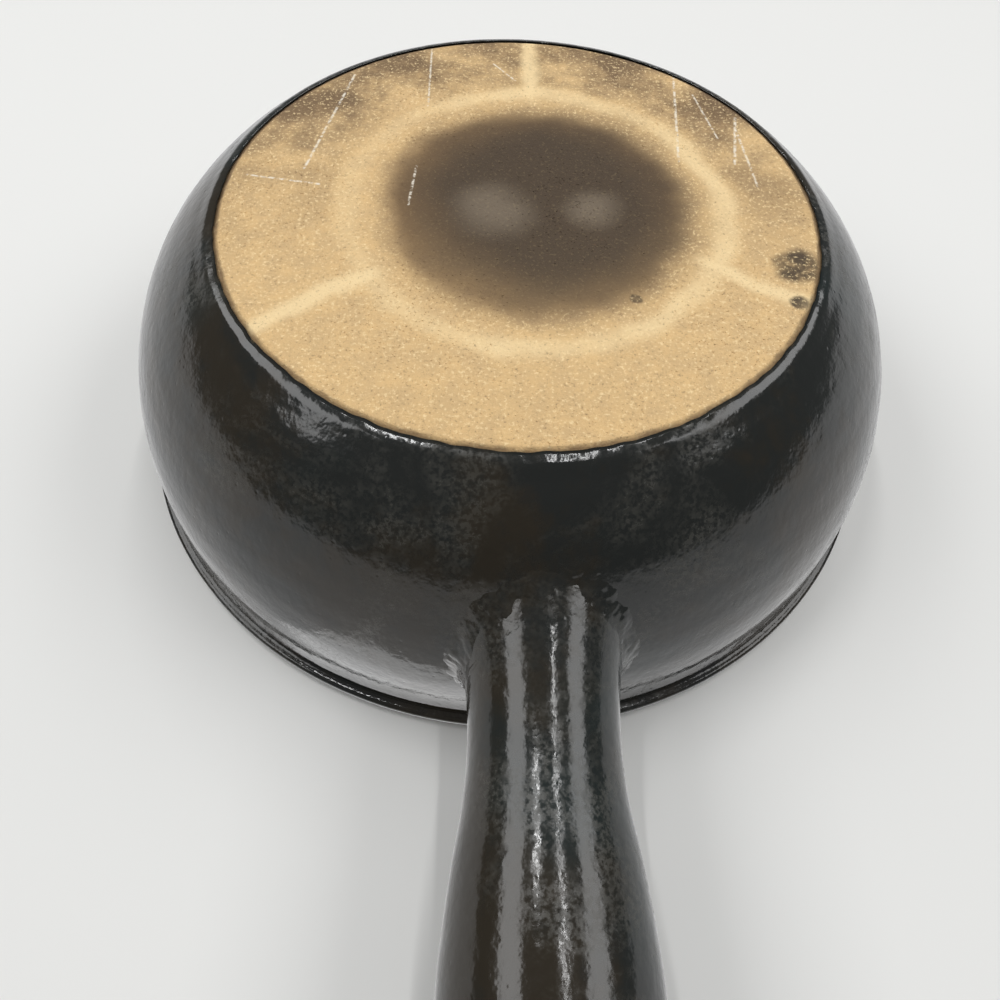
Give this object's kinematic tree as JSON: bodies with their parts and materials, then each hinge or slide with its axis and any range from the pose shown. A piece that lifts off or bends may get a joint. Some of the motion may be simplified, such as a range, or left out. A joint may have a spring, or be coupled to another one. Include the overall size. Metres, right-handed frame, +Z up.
{
  "type": "fondue pot",
  "caption": "Wide ceramic fondue pot with a rolled rim, a bare ground base and a hollow club-shaped clay handle, in a dark glaze.",
  "frame": {"origin": "centre of the bare base's underside, on the pot's axis", "axes": "+Z up along the pot's axis, out of its mouth; -Y from the axis towards the handle's end; +X across"},
  "size_m": [0.2224, 0.345, 0.0725],
  "materials": {
    "bare_clay": "sandy, unglazed, flame-marked on the base",
    "dark_glaze": "glossy, dark greenish brown, mottled",
    "inner_glaze": "glossy, dark brown"
  },
  "bodies": {
    "root": {"bowl": "bare_clay", "outer_glaze": "dark_glaze", "inner_glaze": "inner_glaze", "handle": "bare_clay", "handle_glaze": "dark_glaze", "handle_joint": "dark_glaze"}
  },
  "joints": []
}
